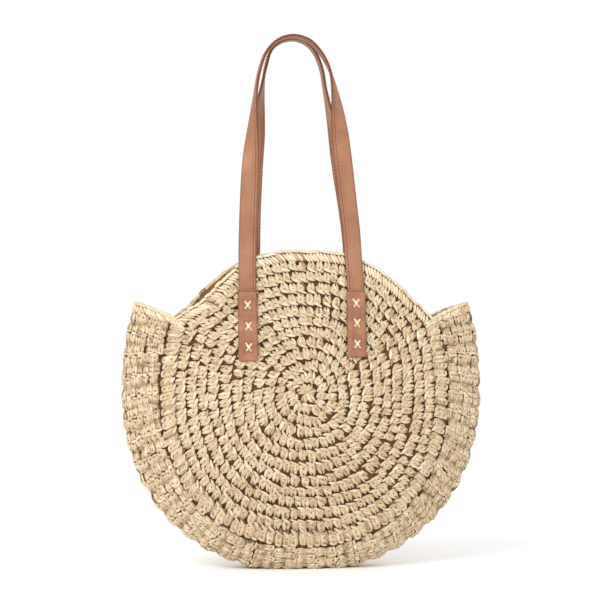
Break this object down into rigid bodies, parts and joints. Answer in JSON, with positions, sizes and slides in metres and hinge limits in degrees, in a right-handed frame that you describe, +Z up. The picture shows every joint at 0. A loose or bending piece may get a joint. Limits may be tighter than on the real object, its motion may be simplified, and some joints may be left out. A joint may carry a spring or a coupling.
{
  "type": "round straw beach bag",
  "caption": "Round crocheted straw tote with a folded gusset ending in two pointed ears, an open lined mouth and two leather shoulder handles sewn on with cross stitches.",
  "frame": {"origin": "centre of the base, on the surface the bag stands on", "axes": "+X to the right seen from the front, +Y from the front panel to the back panel, +Z up"},
  "size_m": [0.4, 0.1062, 0.5877],
  "materials": {
    "straw": "crocheted paper straw, matt",
    "edging": "plain crochet edging, matt",
    "lining": "plain cotton weave, matt",
    "leather": "smooth tan leather, satin",
    "thread": "thick waxed thread"
  },
  "bodies": {
    "gusset": {"gusset": "straw", "right_ear_edging": "edging", "left_ear_edging": "edging", "gusset_lining": "lining"},
    "front_panel": {"front_panel": "straw", "front_edging": "edging", "front_lining": "lining", "front_strap_end_left": "leather", "front_strap_end_right": "leather", "front_tab_left": "leather", "front_tab_right": "leather", "front_stitch_left_1": "thread", "front_stitch_left_2": "thread", "front_stitch_left_3": "thread", "front_stitch_right_1": "thread", "front_stitch_right_2": "thread", "front_stitch_right_3": "thread"},
    "back_panel": {"back_panel": "straw", "back_edging": "edging", "back_lining": "lining", "back_strap_end_left": "leather", "back_strap_end_right": "leather", "back_tab_left": "leather", "back_tab_right": "leather", "back_stitch_left_1": "thread", "back_stitch_left_2": "thread", "back_stitch_left_3": "thread", "back_stitch_right_1": "thread", "back_stitch_right_2": "thread", "back_stitch_right_3": "thread"},
    "front_handle": {"front_strap": "leather"},
    "back_handle": {"back_strap": "leather"}
  },
  "joints": [
    {"name": "front_mouth_open", "type": "hinge", "parent": "gusset", "child": "front_panel", "pos_m": [0, -0.034, 0.039], "axis": [1, 0, 0], "range_deg": [0, 5], "stiffness_Nm_per_rad": 3},
    {"name": "back_mouth_open", "type": "hinge", "parent": "gusset", "child": "back_panel", "pos_m": [0, 0.034, 0.039], "axis": [-1, 0, 0], "range_deg": [0, 5], "stiffness_Nm_per_rad": 3},
    {"name": "front_handle_fold", "type": "hinge", "parent": "front_panel", "child": "front_handle", "pos_m": [0, -0.04, 0.307], "axis": [1, 0, 0], "range_deg": [0, 170]},
    {"name": "back_handle_fold", "type": "hinge", "parent": "back_panel", "child": "back_handle", "pos_m": [0, 0.04, 0.307], "axis": [-1, 0, 0], "range_deg": [0, 170]}
  ]
}
